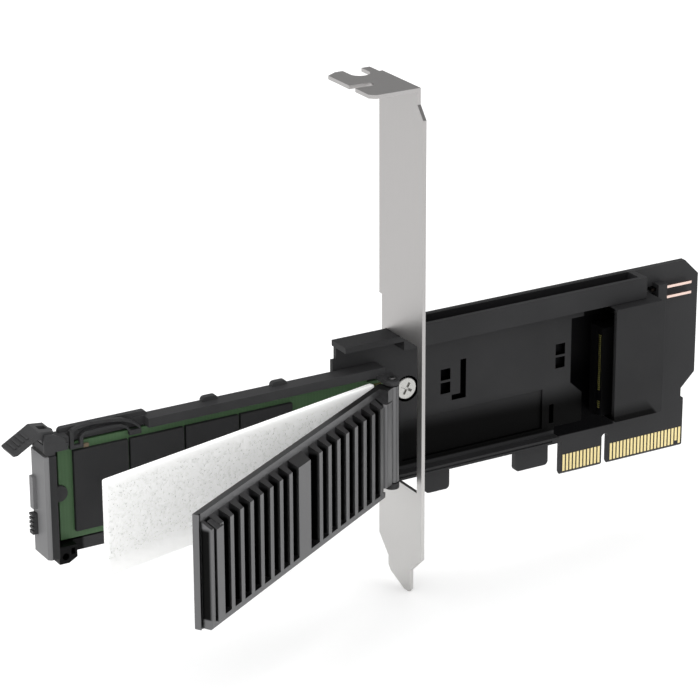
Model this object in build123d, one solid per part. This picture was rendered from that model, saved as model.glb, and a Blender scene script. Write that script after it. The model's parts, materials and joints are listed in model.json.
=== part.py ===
# PCI Express x4 card that carries an M.2 2280 drive in a pull-out tray.
# Frame: +X runs from the bracket into the card, +Z is up, +Y is the solder side.
# Origin: centre line of the card-edge key notch, at the bottom of the card edge,
# in the middle of the board's thickness. Everything is in millimetres.
# The tray is drawn pulled out through the bracket, with its heatsink lid open.
from build123d import *
import os

# Board and card edge, to the card standard.
BOARD_T = 1.57
BOARD_TOP = 47.6
BOARD_RIGHT = 25.6
BOARD_LEFT = -59.0
EDGE_SHORT = 11.65
EDGE_LONG = 21.65
NOTCH_W = 1.90
NOTCH_TOP = 7.9
EDGE_H = 9.25
EDGE_BEVEL = 0.5
CORNER_CUT = 3.9
STEP_Z = (12.4, 13.0, 15.0, 18.7)
STEP_IN = 0.8
FOOT_BOTTOM = 3.5
FOOT_FILLET = 1.0
FOOT_1 = (-50.1, -43.6)
FOOT_2 = (-25.4, -16.3)
CONTACT_PITCH = 1.0
CONTACT_W = 0.70
CONTACT_Z = (0.8, 5.0)
CONTACT_T = 0.05

# Bracket, to the card standard.
PLATE_T = 0.86
PLATE_X = -60.30
PLATE_NEAR = -15.60
PLATE_FAR = 2.80
PLATE_TOP = 105.0
PLATE_H = 120.02
SIDE_STEP = 1.14
SIDE_STEP_Z = (4.2, 53.7)
SHOULDER_DROP = (3.7, 6.7)
TONGUE_HALF = 4.8
TONGUE_MID = -6.1
TONGUE_RISE = 10.0
TONGUE_STEP = 5.7
TAB_DEPTH = 11.43
TAB_NEAR = -13.2
TAB_FAR = 6.8
TAB_CORNER = 1.2
TAB_CHAMFER = 2.6
TAB_NOTCH_IN = 4.5
TAB_NOTCH_R = 2.35
TAB_NOTCH_Y = 3.6
TAB_SLOT_Y = -5.1
TAB_SLOT_R = 1.25
TAB_SLOT_L = 4.0
WINDOW_NEAR = -13.6
WINDOW_FAR = 0.10
WINDOW_GAP = 0.1
EAR_T = 0.86
EAR_L = 8.7
EAR_HALF = 5.0

# Screw through the wall, the board and the bracket's ear.
SCREW_X = -55.9
SCREW_Z = 31.2
SCREW_R = 1.5
SCREW_CLEAR = 0.05
HEAD_R = 2.65
HEAD_T = 1.1
HEAD_SEAT_R = 3.1
CROSS_L = 3.0
CROSS_W = 0.6
CROSS_D = 0.7

# Bay frame: a thin wall in front of the board, a top rail, a roof and a ledge.
WALL_T = 1.20
BAY_OUT = 14.0
ROOF_T = 1.4
ROOF_TOP = 46.0
ROOF_NEAR = -6.2
LEDGE_TOP = 11.6
LEDGE_T = 1.5
LEDGE_NEAR = -4.4
LEDGE_END = -15.6
WALL_LOW = 13.4
SLIDE_GAP = 0.30
RAIL_LOW = 42.4
RAIL_T = 1.2
RAIL_NEAR = -6.1
RAIL_END = 7.0
RAIL_SOLID = 1.7
LOW_FIELD_X = (-57.0, -19.0)
LOW_FIELD_Z = (13.6, 23.4)
LOW_FIELD_D = 0.5
CLIP_HOLE_X = (-46.9, -15.5)
CLIP_HOLE_Z = (27.9, 31.2)
CLIP_HOLE_W = 2.6
CLIP_HOLE_H = 2.7
SLOT_FOOT = (-43.9, -40.1, 25.9, 27.2)
SLOT_STEM = (-41.6, -40.1, 27.1, 35.4)
LATCH_HOLE = (-17.0, -15.8, 14.5, 19.1)
POCKET = [(-11.2, 39.5), (-3.0, 39.5), (-3.0, 12.6), (-7.9, 12.6), (-7.9, 20.6), (-11.2, 23.6)]
STOP_TAB = (0.9, 38.4, 41.8)

# Cap over the drive socket, and the socket.
CAP_X = (-3.4, 10.3)
CAP_LOW = 14.2
CAP_NEAR = -9.0
CAP_T = 1.2
CAP_FILLET = 0.6
SOCKET_X = (-4.9, 3.3)
SOCKET_Y = -5.6
SOCKET_W = 21.9
SOCKET_CLEAR = 0.10
SOCKET_SLOT_D = 3.7
SOCKET_WALL = 0.8
SEAT_GAP = 0.3
PIN_PITCH = 0.5
PIN_COUNT = 37

# Header for the drive lamp.
HEADER_X = (12.4, 14.9)
HEADER_MID = 41.2
HEADER_PITCH = 2.54
HEADER_D = 2.5
PIN_HALF = 0.32
PIN_END = 22.6
TAIL_L = 1.4

# Drive, to the M.2 2280 outline.
DRIVE_L = 80.0
DRIVE_W = 22.0
DRIVE_T = 0.80
CHIP_T = 1.0
CHIP_COUNT = 4
CHIP_GAP = 0.5
CHIP_ROOM = 3.1
CHIP_HALF = 9.3
CHIP_START = 3.3
CONTROLLER_FROM_END = 20.0
CONTROLLER_L = 10.0
CONTROLLER_HALF = 6.5
DRIVE_GAP = 0.40
DRIVE_IN = -63.6
TONGUE_CUT = 1.1
TONGUE_L = 4.0
TONGUE_BARE = 0.4
TONGUE_GOLD = 2.8
FINGER_HALF = 0.17
KEY_DROP = 6.1
KEY_HALF = 0.6

# Tray, its bezel and what holds the drive.
TRAY_FLOOR_T = 0.80
RIB_T = 0.30
TRAY_WALL_TOP = 2.1
TRAY_WALL_LOW = 2.7
TRAY_WALL_D = 4.0
TRAY_END = 1.9
TRAY_IN = -62.6
TOP_WALL_SHORT = 1.6
FLOOR_SHORT = 3.0
BUMP_STEP = 17.2
BUMP_FIRST = 21.5
BUMP_HALF = 1.9
BUMP_H = 1.0
RIM_START = 2.6
LOW_WALL_D = 1.9
EAR_R = 1.7
BEZEL_T = 2.6
BEZEL_NEAR = -7.7
BEZEL_FAR = -0.2
BEZEL_Z = (12.6, 36.3)
GRIP_Z = (22.8, 30.2)
GRIP_T = 0.8
STUD_R = 1.8
STUD_GAP = 0.1
KEEPER_L = 4.2
KEEPER_DROP = 1.3
KEEPER_NEAR = -6.7
CORNER_GAP = 0.45
KEEPER_HOLE_R = 0.8
CLIP_T = 0.7
CLIP_FOOT = (16.6, 19.4)
CLIP_ROOM = 1.2
CLIP_D = 0.9
OUTER_ARCH = [(2.6, 2.4), (3.2, 3.3), (4.4, 3.8), (7.3, 4.2), (11.8, 3.9), (15.1, 3.4),
              (17.5, 2.3), (19.2, 0.8)]
INNER_ARCH = [(4.9, 0.8), (5.3, 1.7), (6.1, 2.2), (8.8, 2.3), (11.8, 2.4), (14.5, 2.2),
              (15.9, 1.5), (17.0, 0.1)]

# Button in the bezel.
BUTTON_Y = (-0.9, -2.6)
BUTTON_Z = (17.0, 21.7)
BUTTON_GAP = 0.12
BUTTON_TRAVEL = 0.6
BUTTON_PROUD = 1.2

# Eject lever and its pin.
LEVER_IN = 1.2
LEVER_UP = 0.4
LEVER_NEAR = -6.6
LEVER_FAR = -1.0
LEVER_PIN_R = 0.6
LEVER_HUB_R = 1.3
LEVER_ARM = 7.9
LEVER_ARM_T = 1.2
LEVER_OFFSET = 1.5
LEVER_OPEN = 60.0
LEVER_RIDGES = 4
LEVER_HOLE = 1.9
CHEEK_T = 0.7
LEVER_GAP = 0.10

# Pad, lid and hinge.
PAD_T = 1.5
PAD_GAP = 0.2
PAD_DROP = 0.3
PAD_IN = 2.4
LID_PLATE_T = 1.5
FIN_H = 2.5
FIN_T = 1.4
FIN_ROOT = 2.2
FIN_SLOPE = 1.4
FIN_FIRST = 75.8
FIN_PITCH = 4.04
FIN_SECOND = 34.6
FIN_PITCH_2 = 3.96
FIN_COUNT = 8
MIDDLE_BLOCK = (44.2, 39.1)
OUTER_BAR = (79.9, 78.9)
INNER_BAR = (5.3, 1.2)
LID_LOW = 11.0
LID_HIGH = 36.6
LID_RIM = 1.7
SLAB_IN = 1.6
LID_GROOVE = 0.4
LID_END_T = 0.25
NECK_L = 3.6
HINGE_X = -64.6
HINGE_DROP = 2.8
KNUCKLE_R = 1.6
PIN_R = 0.75
PIN_CLEAR = 0.05
LID_OPEN = 31.2
PAD_OPEN = 13.4
LID_OVER = 1.6
PAD_OVER = 0.4

# Supply parts on the solder side.
REGULATOR = (-2.5, 28.0, 5.0, 1.0)
COIL = (5.0, 28.4, 4.2, 2.0)
CAP_COLUMNS = (-9.0, -6.5, 11.5, 14.0)
CAP_ROWS = (26.5, 30.0, 33.5)
CAP_SIZE = (1.25, 0.9, 2.0)

# Worked out from the sizes above.
BOARD_FRONT = -BOARD_T / 2
BOARD_BACK = BOARD_T / 2
WALL_FRONT = BOARD_FRONT - WALL_T
PLATE_IN = PLATE_X + PLATE_T
PLATE_LOW = PLATE_TOP - PLATE_H
SHORT_X = (-NOTCH_W / 2 - EDGE_SHORT, -NOTCH_W / 2)
LONG_X = (NOTCH_W / 2, NOTCH_W / 2 + EDGE_LONG)
TRAY_FAR = WALL_FRONT - SLIDE_GAP
TRAY_LOW = LEDGE_TOP + SLIDE_GAP
TRAY_NEAR = TRAY_FAR - TRAY_WALL_D
FLOOR_FRONT = TRAY_FAR - TRAY_FLOOR_T
DRIVE_BACK = FLOOR_FRONT - RIB_T
DRIVE_FRONT = DRIVE_BACK - DRIVE_T
DRIVE_LOW = TRAY_LOW + TRAY_WALL_LOW + DRIVE_GAP
DRIVE_TOP = DRIVE_LOW + DRIVE_W
DRIVE_MID = DRIVE_LOW + DRIVE_W / 2
DRIVE_OUT = DRIVE_IN - DRIVE_L
TRAY_TOP = DRIVE_TOP + DRIVE_GAP + TRAY_WALL_TOP
TRAY_OUT = DRIVE_OUT - TRAY_END
BEZEL_OUT = TRAY_OUT - BEZEL_T
CHIP_FRONT = DRIVE_FRONT - CHIP_T
CHIP_PITCH = (DRIVE_L - CONTROLLER_FROM_END - CHIP_START - CHIP_ROOM) / CHIP_COUNT
PAD_BACK = CHIP_FRONT - PAD_GAP
PAD_FRONT = PAD_BACK - PAD_T
LID_BACK = PAD_FRONT - PAD_GAP
LID_FRONT = LID_BACK - LID_PLATE_T
HINGE_Y = LID_BACK - HINGE_DROP
LID_LEN = HINGE_X - DRIVE_OUT + LID_OVER
LID_OUT = HINGE_X - LID_LEN
LEVER_X = BEZEL_OUT + LEVER_IN
LEVER_Z = TRAY_TOP + LEVER_UP
CLIP_Y = (DRIVE_FRONT - 0.05, DRIVE_FRONT - 0.05 - CLIP_D)
RAIL_TOP = BOARD_TOP
CAP_HIGH = RAIL_LOW - WINDOW_GAP

HINGE = Axis((HINGE_X, HINGE_Y, 0), (0, 0, 1))
BEYOND = 1.0


def block(x0, x1, y0, y1, z0, z1):
    """A box between two corners."""
    size = Box(abs(x1 - x0), abs(y1 - y0), abs(z1 - z0))
    return Pos((x0 + x1) / 2, (y0 + y1) / 2, (z0 + z1) / 2) * size


def plate_xz(points, y_back, y_front):
    """A plate whose outline is given in X and Z, between two Y planes."""
    outline = Plane.XZ * make_face(Polyline(*points, close=True))
    return Pos(0, y_back, 0) * extrude(outline, amount=y_back - y_front)


def plate_yz(points, x0, x1):
    """A plate whose outline is given in Y and Z, between two X planes."""
    outline = Plane.YZ * make_face(Polyline(*points, close=True))
    return Pos(x0, 0, 0) * extrude(outline, amount=x1 - x0)


def plate_xy(points, z0, z1):
    """A plate whose outline is given in X and Y, between two Z planes."""
    outline = make_face(Polyline(*points, close=True))
    return Pos(0, 0, z0) * extrude(outline, amount=z1 - z0)


def rod_y(x, z, radius, y0, y1):
    """A round bar along Y."""
    bar = Rot(90, 0, 0) * Cylinder(radius, abs(y1 - y0))
    return Pos(x, (y0 + y1) / 2, z) * bar


def rod_z(x, y, radius, z0, z1):
    """A round bar along Z."""
    return Pos(x, y, (z0 + z1) / 2) * Cylinder(radius, abs(z1 - z0))


def save(name, shape):
    export_step(shape, f"parts/{name}.step")


def circuit_board():
    """The board with its card edge, key notch, two feet and cut corners."""
    right = LONG_X[1] - STEP_IN
    points = [
        (BOARD_LEFT, EDGE_H), (FOOT_1[0], EDGE_H), (FOOT_1[0], FOOT_BOTTOM),
        (FOOT_1[1], FOOT_BOTTOM), (FOOT_1[1], EDGE_H), (FOOT_2[0], EDGE_H),
        (FOOT_2[0], FOOT_BOTTOM), (FOOT_2[1], FOOT_BOTTOM), (FOOT_2[1], EDGE_H),
        (SHORT_X[0], EDGE_H), (SHORT_X[0], 0), (SHORT_X[1], 0), (SHORT_X[1], NOTCH_TOP),
        (LONG_X[0], NOTCH_TOP), (LONG_X[0], 0), (LONG_X[1], 0), (LONG_X[1], STEP_Z[0]),
        (right, STEP_Z[1]), (right, STEP_Z[2]), (BOARD_RIGHT, STEP_Z[3]),
        (BOARD_RIGHT, BOARD_TOP - CORNER_CUT), (BOARD_RIGHT - CORNER_CUT, BOARD_TOP),
        (BOARD_LEFT, BOARD_TOP),
    ]
    board = plate_xz(points, BOARD_BACK, BOARD_FRONT)
    feet = board.edges().filter_by(Axis.Y).filter_by(
        lambda e: abs(e.center().Z - FOOT_BOTTOM) < 0.01)
    board = fillet(feet, FOOT_FILLET)
    notch = board.edges().filter_by(Axis.Y).filter_by(
        lambda e: abs(e.center().Z - NOTCH_TOP) < 0.01)
    board = fillet(notch, NOTCH_W * 0.49)
    tips = board.edges().filter_by(Axis.X).filter_by(lambda e: abs(e.center().Z) < 0.01)
    board = chamfer(tips, EDGE_BEVEL)
    return board - rod_y(SCREW_X, SCREW_Z, SCREW_R + SCREW_CLEAR, BOARD_FRONT - BEYOND,
                         BOARD_BACK + BEYOND)


def contact_row(face_y, outward):
    """The gold contacts on one side of the card edge."""
    pads = []
    y_out = face_y + outward * CONTACT_T
    for start, end in (SHORT_X, LONG_X):
        count = int((end - start) / CONTACT_PITCH)
        margin = (end - start - (count - 1) * CONTACT_PITCH) / 2
        for i in range(count):
            x = start + margin + i * CONTACT_PITCH
            pads.append(block(x - CONTACT_W / 2, x + CONTACT_W / 2, face_y, y_out,
                              CONTACT_Z[0], CONTACT_Z[1]))
    return Compound(children=pads)


def bracket_plate():
    """The long plate: shoulders at the top, a tongue at the bottom and the window."""
    near = TONGUE_MID - TONGUE_HALF
    far = TONGUE_MID + TONGUE_HALF
    side = PLATE_FAR - SIDE_STEP
    outline = [
        (TAB_NEAR, PLATE_TOP), (TAB_NEAR, PLATE_TOP - SHOULDER_DROP[0]),
        (PLATE_NEAR, PLATE_TOP - SHOULDER_DROP[1]), (PLATE_NEAR, PLATE_LOW + TONGUE_RISE),
        (near, PLATE_LOW + TONGUE_STEP), (near, PLATE_LOW + 0.9), (near + 0.9, PLATE_LOW),
        (near + 2.5, PLATE_LOW), (far - 1.1, PLATE_LOW + 2.2), (far, PLATE_LOW + 3.4),
        (far, PLATE_LOW + TONGUE_STEP), (PLATE_FAR, PLATE_LOW + TONGUE_RISE),
        (PLATE_FAR, SIDE_STEP_Z[0]), (side, SIDE_STEP_Z[0]), (side, SIDE_STEP_Z[1]),
        (PLATE_FAR, SIDE_STEP_Z[1]), (PLATE_FAR, PLATE_TOP),
    ]
    plate = plate_yz(outline, PLATE_X, PLATE_IN)
    high = ROOF_TOP + WINDOW_GAP
    low = LID_LOW - 2 * WINDOW_GAP
    step = LEDGE_NEAR - SLIDE_GAP
    ledge_low = LEDGE_TOP - LEDGE_T - WINDOW_GAP
    window = [
        (WINDOW_NEAR, high), (WINDOW_NEAR, low), (step, low), (step, ledge_low),
        (WINDOW_FAR, ledge_low), (WINDOW_FAR, high),
    ]
    return plate - plate_yz(window, PLATE_X - BEYOND, PLATE_IN + BEYOND)


def bracket_tab():
    """The tab that lies on the chassis ledge, with its screw notch and slot."""
    x_out = PLATE_X - TAB_DEPTH
    outline = [
        (PLATE_IN, TAB_NEAR), (x_out + TAB_CORNER, TAB_NEAR), (x_out, TAB_NEAR + TAB_CORNER),
        (x_out, TAB_FAR - 1.6), (x_out + TAB_CHAMFER, TAB_FAR), (PLATE_X, TAB_FAR),
        (PLATE_X, PLATE_FAR), (PLATE_IN, PLATE_FAR),
    ]
    low = PLATE_TOP - PLATE_T - BEYOND
    high = PLATE_TOP + BEYOND
    tab = plate_xy(outline, PLATE_TOP - PLATE_T, PLATE_TOP)
    notch_x = PLATE_X - TAB_NOTCH_IN
    tab -= rod_z(notch_x, TAB_NOTCH_Y, TAB_NOTCH_R, low, high)
    tab -= block(notch_x - TAB_NOTCH_R, notch_x + TAB_NOTCH_R, TAB_NOTCH_Y, TAB_FAR + BEYOND,
                 low, high)
    slot_x = x_out + TAB_SLOT_L
    tab -= rod_z(slot_x, TAB_SLOT_Y, TAB_SLOT_R, low, high)
    return tab - block(x_out - BEYOND, slot_x, TAB_SLOT_Y - TAB_SLOT_R,
                       TAB_SLOT_Y + TAB_SLOT_R, low, high)


def bracket():
    """Full-height bracket: plate, top tab and the ear that the screw holds."""
    ear = block(PLATE_X, PLATE_X + EAR_L, BOARD_BACK, BOARD_BACK + EAR_T,
                SCREW_Z - EAR_HALF, SCREW_Z + EAR_HALF)
    ear = fillet(ear.edges().filter_by(Axis.Y).group_by(Axis.X)[-1], SCREW_R)
    ear -= rod_y(SCREW_X, SCREW_Z, SCREW_R, BOARD_BACK - BEYOND, BOARD_BACK + EAR_T + BEYOND)
    return bracket_plate() + bracket_tab() + ear


def top_rail():
    """Channel along the top of the wall, open upwards, that guides the tray's bumps."""
    x0 = PLATE_IN + SLIDE_GAP
    web = block(x0, RAIL_END, BOARD_FRONT, RAIL_NEAR, RAIL_LOW, RAIL_LOW + RAIL_T)
    lip = block(x0, RAIL_END, RAIL_NEAR + RAIL_T, RAIL_NEAR, RAIL_LOW, RAIL_TOP)
    end = block(RAIL_END - RAIL_SOLID, RAIL_END, BOARD_FRONT, RAIL_NEAR, RAIL_LOW, RAIL_TOP)
    return web + lip + end


def wall_holes():
    """Everything that is cut out of the wall, as one shape."""
    y0 = BOARD_FRONT + BEYOND
    y1 = WALL_FRONT - BEYOND
    holes = []
    for x in CLIP_HOLE_X:
        for z in CLIP_HOLE_Z:
            holes.append(block(x, x + CLIP_HOLE_W, y0, y1, z, z + CLIP_HOLE_H))
    for x0, x1, z0, z1 in (SLOT_FOOT, SLOT_STEM, LATCH_HOLE):
        holes.append(block(x0, x1, y0, y1, z0, z1))
    holes.append(plate_xz(POCKET, y0, y1))
    half = SOCKET_W / 2 + SEAT_GAP
    holes.append(block(CAP_X[0] - 0.6, SOCKET_X[1] + SEAT_GAP, y0, CAP_NEAR,
                       DRIVE_MID - half, DRIVE_MID + half))
    holes.append(rod_y(SCREW_X, SCREW_Z, HEAD_SEAT_R, y0, y1))
    return holes


def bay_frame():
    """Wall before the board, with the rails, roof and ledge that guide the tray."""
    out_x = PLATE_X - BAY_OUT
    in_x = PLATE_IN + SLIDE_GAP
    ledge_low = LEDGE_TOP - LEDGE_T
    frame = block(out_x, in_x, BOARD_FRONT, WALL_FRONT, ledge_low, ROOF_TOP)
    frame += block(in_x, CAP_X[1], BOARD_FRONT, WALL_FRONT, WALL_LOW, RAIL_LOW)
    frame += block(in_x, LEDGE_END, BOARD_FRONT, WALL_FRONT, ledge_low, WALL_LOW)
    frame += top_rail()
    frame -= block(LOW_FIELD_X[0], LOW_FIELD_X[1], WALL_FRONT, WALL_FRONT + LOW_FIELD_D,
                   LOW_FIELD_Z[0], LOW_FIELD_Z[1])
    frame += block(out_x, in_x, WINDOW_FAR - WINDOW_GAP, ROOF_NEAR, ROOF_TOP - ROOF_T, ROOF_TOP)
    ledge = block(out_x, LEDGE_END, WALL_FRONT, LEDGE_NEAR, ledge_low, LEDGE_TOP)
    groove = (ledge_low + LEDGE_TOP) / 2
    ledge -= block(out_x + 2, LEDGE_END - 2, LEDGE_NEAR, LEDGE_NEAR + 0.4, groove - 0.2,
                   groove + 0.2)
    frame += ledge
    frame += block(out_x - STOP_TAB[0], out_x, BOARD_FRONT, WALL_FRONT, STOP_TAB[1], STOP_TAB[2])
    for hole in wall_holes():
        frame -= hole
    return frame


def socket_cover():
    """Cap over the drive socket, open on the side that the drive enters."""
    cap = block(CAP_X[0], CAP_X[1], WALL_FRONT, CAP_NEAR, CAP_LOW, CAP_HIGH)
    cap = fillet(cap.edges().filter_by(Axis.Y), CAP_FILLET)
    return cap - block(CAP_X[0] - BEYOND, CAP_X[1] - CAP_T, WALL_FRONT + BEYOND,
                       CAP_NEAR + CAP_T, CAP_LOW + CAP_T / 3, CAP_HIGH - CAP_T)


def m2_socket():
    """Drive socket: a long block with a slot for the board edge."""
    z0 = DRIVE_MID - SOCKET_W / 2
    z1 = DRIVE_MID + SOCKET_W / 2
    slot_x = SOCKET_X[0] + SOCKET_SLOT_D
    body = block(SOCKET_X[0], SOCKET_X[1], BOARD_FRONT, SOCKET_Y, z0, z1)
    body -= block(SOCKET_X[0] - BEYOND, slot_x, DRIVE_BACK + SOCKET_CLEAR,
                  DRIVE_FRONT - SOCKET_CLEAR, z0 + SOCKET_WALL, z1 - SOCKET_WALL)
    return body - block(slot_x, SOCKET_X[1] + BEYOND, SOCKET_Y, SOCKET_Y + CAP_T, z0, z1)


def m2_contacts():
    """Spring contacts that show at the mouth of the drive socket."""
    fingers = []
    key = DRIVE_MID - KEY_DROP
    y0 = DRIVE_FRONT - SOCKET_CLEAR
    for i in range(PIN_COUNT):
        z = DRIVE_MID + (i - (PIN_COUNT - 1) / 2) * PIN_PITCH
        if abs(z - key) > 2 * KEY_HALF:
            fingers.append(block(SOCKET_X[0] - 0.15, SOCKET_X[0], y0, y0 - 0.7,
                                 z - 0.12, z + 0.12))
    return Compound(children=fingers)


def bracket_screw():
    """Cross-head screw that clamps the board to the bracket's ear."""
    y_top = BOARD_FRONT - HEAD_T
    head = rod_y(SCREW_X, SCREW_Z, HEAD_R, BOARD_FRONT, y_top)
    rim = head.edges().filter_by(GeomType.CIRCLE).sort_by(Axis.Y)[0]
    screw = fillet(rim, 0.4)
    screw += rod_y(SCREW_X, SCREW_Z, SCREW_R, BOARD_FRONT, BOARD_BACK + EAR_T + 0.6)
    for wide, tall in ((CROSS_L, CROSS_W), (CROSS_W, CROSS_L)):
        bar = block(SCREW_X - wide / 2, SCREW_X + wide / 2, y_top - BEYOND, y_top + CROSS_D,
                    SCREW_Z - tall / 2, SCREW_Z + tall / 2)
        screw -= bar.rotate(Axis((SCREW_X, 0, SCREW_Z), (0, 1, 0)), 30)
    return screw


def led_header():
    """Black body of the right-angle two-pin header."""
    return block(HEADER_X[0], HEADER_X[1], BOARD_FRONT, BOARD_FRONT - HEADER_D,
                 HEADER_MID - HEADER_PITCH, HEADER_MID + HEADER_PITCH)


def led_header_pins():
    """Two straight pins, with their tails down to the board."""
    pins = []
    y = BOARD_FRONT - HEADER_D / 2
    for z in (HEADER_MID - HEADER_PITCH / 2, HEADER_MID + HEADER_PITCH / 2):
        pins.append(block(HEADER_X[1], PIN_END, y - PIN_HALF, y + PIN_HALF,
                          z - PIN_HALF, z + PIN_HALF))
        pins.append(block(HEADER_X[0] - TAIL_L, HEADER_X[0], y - PIN_HALF, BOARD_FRONT,
                          z - PIN_HALF, z + PIN_HALF))
    return Compound(children=pins)


def back_part(place, y):
    """A low square part on the solder side: place gives X, Z, width and height."""
    x, z, wide, high = place
    return block(x, x + wide, y, y + high, z, z + wide)


def back_capacitors():
    """Rows of small capacitors round the regulator."""
    wide, high, tall = CAP_SIZE
    caps = []
    for x in CAP_COLUMNS:
        for z in CAP_ROWS:
            caps.append(block(x, x + wide, BOARD_BACK, BOARD_BACK + high, z, z + tall))
    return Compound(children=caps)


def tray_ear(z0, z1):
    """One of the two ears that carry the lid's hinge pin."""
    ear = block(HINGE_X - EAR_R, TRAY_IN, HINGE_Y, TRAY_NEAR + 0.5, z0, z1)
    ear += rod_z(HINGE_X, HINGE_Y, EAR_R, z0, z1)
    ear -= block(TRAY_IN, TRAY_IN + EAR_R, HINGE_Y - 2 * EAR_R, TRAY_NEAR + 1, z0 - 1, z1 + 1)
    return ear - rod_z(HINGE_X, HINGE_Y, PIN_R, z0 - 1, z1 + 1)


def lever_cheek(y0, y1):
    """One of the two cheeks that carry the lever's pin."""
    top = LEVER_Z + LEVER_HUB_R
    low = LID_HIGH + CORNER_GAP
    points = [(TRAY_OUT + 3, low), (TRAY_OUT + 2.4, TRAY_TOP), (LEVER_X + 0.9, top),
              (LEVER_X - 0.8, top), (BEZEL_OUT + 0.1, LEVER_Z + 0.1),
              (BEZEL_OUT + 0.1, BEZEL_Z[1] + 0.9), (BEZEL_OUT + 0.9, BEZEL_Z[1] + 0.1),
              (TRAY_OUT - 0.1, BEZEL_Z[1] + 0.1), (TRAY_OUT - 0.1, low)]
    return plate_xz(points, y1, y0) - rod_y(LEVER_X, LEVER_Z, LEVER_PIN_R, y0 - 1, y1 + 1)


def latch_keeper():
    """Block under the tray's outer end that the bay's latch holds."""
    x0 = TRAY_OUT + 0.3
    x1 = x0 + KEEPER_L
    low = TRAY_LOW - KEEPER_DROP
    points = [(x0, TRAY_LOW + TRAY_WALL_LOW), (x0, low), (x0 + 2.2, low),
              (x1, TRAY_LOW - 0.2), (x1, TRAY_LOW + TRAY_WALL_LOW)]
    keeper = plate_xz(points, TRAY_FAR, KEEPER_NEAR)
    keeper -= rod_y(x0 + 1.5, TRAY_LOW + 0.3, KEEPER_HOLE_R, KEEPER_NEAR - 1, TRAY_NEAR + 1.5)
    return keeper - block(x0 + 2.8, x0 + 3.7, KEEPER_NEAR - 1, TRAY_NEAR + 1,
                          TRAY_LOW + 0.6, TRAY_LOW + 2.0)


def tray():
    """Open tray: floor, side walls, bumps, hinge ears, lever cheeks and keeper."""
    frame = block(TRAY_OUT, TRAY_IN - FLOOR_SHORT, TRAY_FAR, FLOOR_FRONT, TRAY_LOW, TRAY_TOP)
    frame += block(TRAY_OUT, TRAY_IN, TRAY_FAR, TRAY_FAR - LOW_WALL_D, TRAY_LOW,
                   TRAY_LOW + TRAY_WALL_LOW)
    frame += block(TRAY_IN - 4, TRAY_IN, TRAY_FAR, TRAY_NEAR, TRAY_LOW, TRAY_LOW + 1.4)
    top = block(TRAY_OUT, TRAY_IN - TOP_WALL_SHORT, TRAY_FAR, TRAY_NEAR,
                TRAY_TOP - TRAY_WALL_TOP, TRAY_TOP)
    top -= block(DRIVE_OUT + 1.8, DRIVE_OUT + CLIP_FOOT[1] + CLIP_ROOM, DRIVE_FRONT + 0.2,
                 TRAY_NEAR - 1, TRAY_TOP - TRAY_WALL_TOP - 1, TRAY_TOP + 1)
    frame += top
    for z0 in (DRIVE_LOW + DRIVE_GAP, DRIVE_TOP - DRIVE_GAP - 2.0):
        frame += block(DRIVE_OUT + 3, TRAY_IN - FLOOR_SHORT, FLOOR_FRONT, DRIVE_BACK, z0, z0 + 2.0)
    for i in range(3):
        x = TRAY_OUT + BUMP_FIRST + i * BUMP_STEP
        x0 = x - BUMP_HALF if i else TRAY_OUT + RIM_START
        bump = block(x0, x + BUMP_HALF, TRAY_FAR, TRAY_FAR - 1.4, TRAY_TOP - 0.5,
                     TRAY_TOP + BUMP_H)
        frame += fillet(bump.edges().filter_by(Axis.Y).group_by(Axis.Z)[-1], BUMP_H * 0.9)
    frame += tray_ear(TRAY_LOW, TRAY_LOW + 1.4)
    frame += tray_ear(LID_HIGH + 0.25, LID_HIGH + 1.35)
    far = LEVER_FAR + LEVER_GAP
    near = LEVER_NEAR - LEVER_GAP
    frame += lever_cheek(far, far + CHEEK_T)
    frame += lever_cheek(near - CHEEK_T, near)
    high = LEVER_Z - LEVER_HUB_R - LEVER_GAP
    frame += block(BEZEL_OUT + 0.5, TRAY_OUT + 3, far + CHEEK_T, near - CHEEK_T,
                   LID_HIGH + CORNER_GAP, high)
    frame += block(BEZEL_OUT + 0.5, TRAY_OUT - 0.1, far + CHEEK_T, near - CHEEK_T,
                   BEZEL_Z[1] + 0.1, high)
    return frame + latch_keeper()


def tray_bezel():
    """Front plate of the tray, with a raised grip and a button opening."""
    plate = block(BEZEL_OUT, TRAY_OUT, BEZEL_FAR, BEZEL_NEAR, BEZEL_Z[0], BEZEL_Z[1])
    plate = chamfer(plate.edges().filter_by(Axis.Z).group_by(Axis.X)[0], 0.5)
    plate += block(BEZEL_OUT - GRIP_T, BEZEL_OUT, BUTTON_Y[0], BUTTON_Y[1], GRIP_Z[0], GRIP_Z[1])
    return plate - block(BEZEL_OUT - BEYOND, TRAY_OUT + BEYOND, BUTTON_Y[0] + BUTTON_GAP,
                         BUTTON_Y[1] - BUTTON_GAP, BUTTON_Z[0] - BUTTON_GAP,
                         BUTTON_Z[1] + BUTTON_GAP)


def release_button():
    """Ridged button that sits in the bezel."""
    x0 = BEZEL_OUT - BUTTON_PROUD
    body = block(x0, TRAY_OUT - BUTTON_TRAVEL - BUTTON_GAP, BUTTON_Y[0], BUTTON_Y[1],
                 BUTTON_Z[0], BUTTON_Z[1])
    for i in range(4):
        z = BUTTON_Z[0] + 1.0 + i * 1.0
        body -= block(x0 - BEYOND, x0 + 0.4, BUTTON_Y[0] + 1, BUTTON_Y[1] - 1, z - 0.22, z + 0.22)
    return body


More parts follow.
